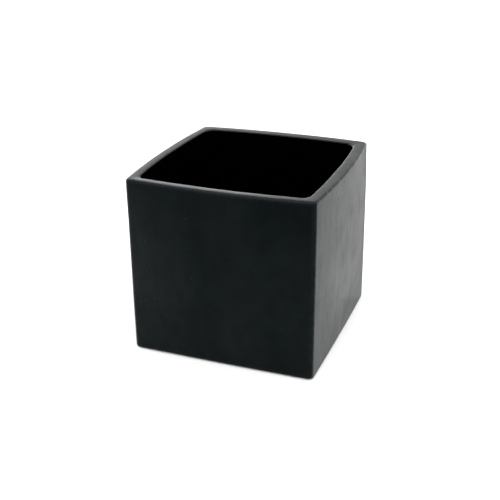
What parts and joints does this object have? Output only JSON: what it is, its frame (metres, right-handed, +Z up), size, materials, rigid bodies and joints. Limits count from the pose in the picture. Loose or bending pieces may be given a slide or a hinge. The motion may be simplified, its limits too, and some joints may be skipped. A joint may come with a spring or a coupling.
{
  "type": "candle jar",
  "caption": "Square glazed ceramic candle jar with slightly bowed walls, an open top, rounded rim and an unglazed foot ring.",
  "frame": {"origin": "centre of the foot, in the plane that the jar stands on", "axes": "+Z up out of the mouth; the four faces are square to X and Y"},
  "size_m": [0.086, 0.086, 0.079],
  "materials": {
    "clay": "matte",
    "matte_glaze": "satin",
    "gloss_glaze": "gloss"
  },
  "bodies": {
    "root": {"clay_body": "clay", "outer_matte_glaze": "matte_glaze", "inner_gloss_glaze": "gloss_glaze"}
  },
  "joints": []
}
